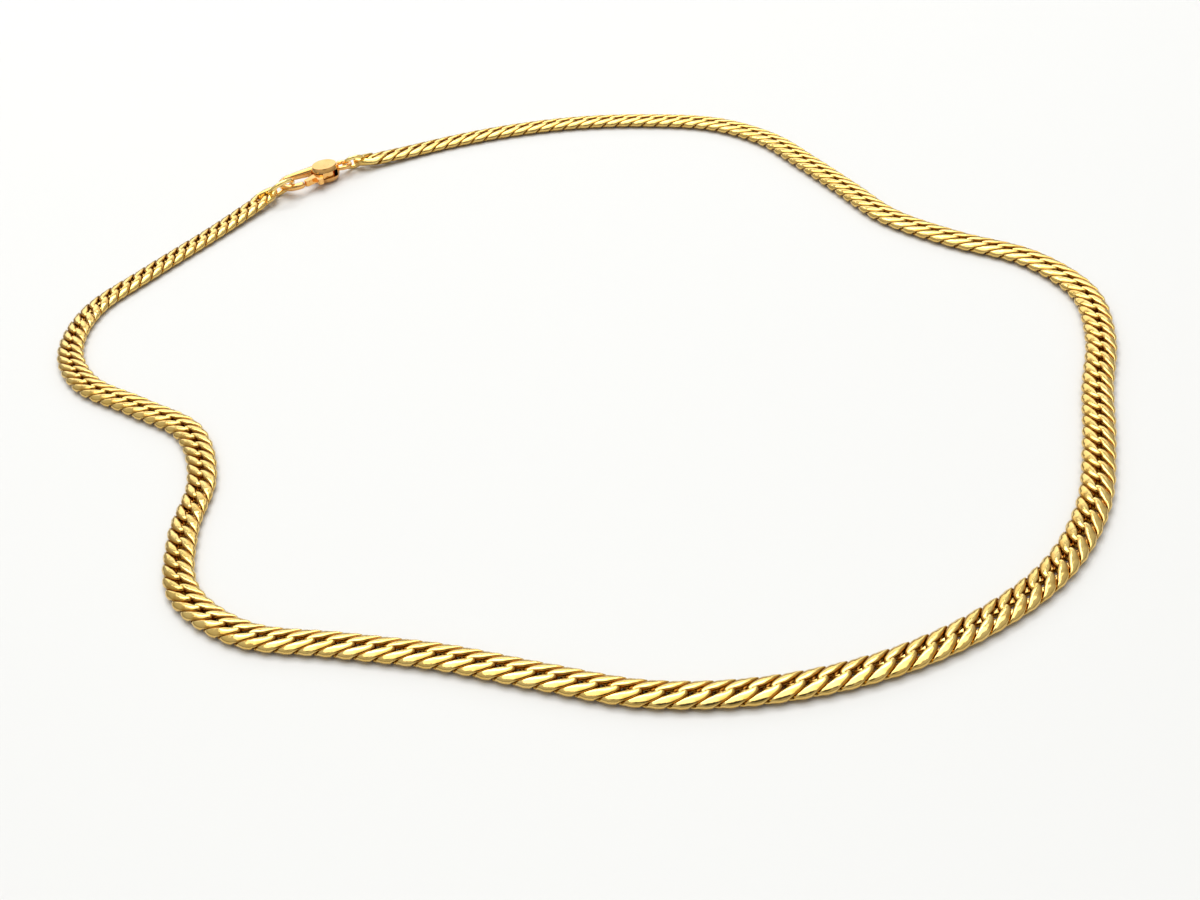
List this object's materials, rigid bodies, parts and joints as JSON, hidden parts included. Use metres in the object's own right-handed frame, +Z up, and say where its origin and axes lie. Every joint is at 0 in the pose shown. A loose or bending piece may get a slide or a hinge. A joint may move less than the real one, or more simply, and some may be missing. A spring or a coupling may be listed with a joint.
{
  "type": "curb chain necklace with lobster clasp",
  "caption": "Flat gold curb chain necklace lying in one closed loop, with end links, jump ring, end ring and a lobster clasp whose sprung lever opens inward.",
  "frame": {"origin": "middle of the loop's box, on the surface that the chain lies on", "axes": "+Z up, off the surface; +Y from the front of the loop towards the clasp side; +X to the right as seen from the front"},
  "size_m": [0.143, 0.151, 0.0038],
  "materials": {
    "gold_chain": "polished",
    "gold_ring": "polished",
    "gold_clasp": "polished"
  },
  "bodies": {
    "necklace": {"chain_right": "gold_chain", "chain_left": "gold_chain", "end_link_right": "gold_chain", "end_link_left": "gold_chain", "jump_ring": "gold_ring", "hook_ring": "gold_ring", "clasp_body": "gold_clasp", "lever_pin": "gold_clasp"},
    "lever": {"clasp_lever": "gold_clasp"}
  },
  "joints": [
    {"name": "lever_hinge", "type": "hinge", "parent": "necklace", "child": "lever", "pos_m": [-0.03413, 0.06576, 0.0016], "axis": [0, 0, -1], "range_deg": [0, 25], "stiffness_Nm_per_rad": 0.0004, "springref_deg": -11.46}
  ]
}
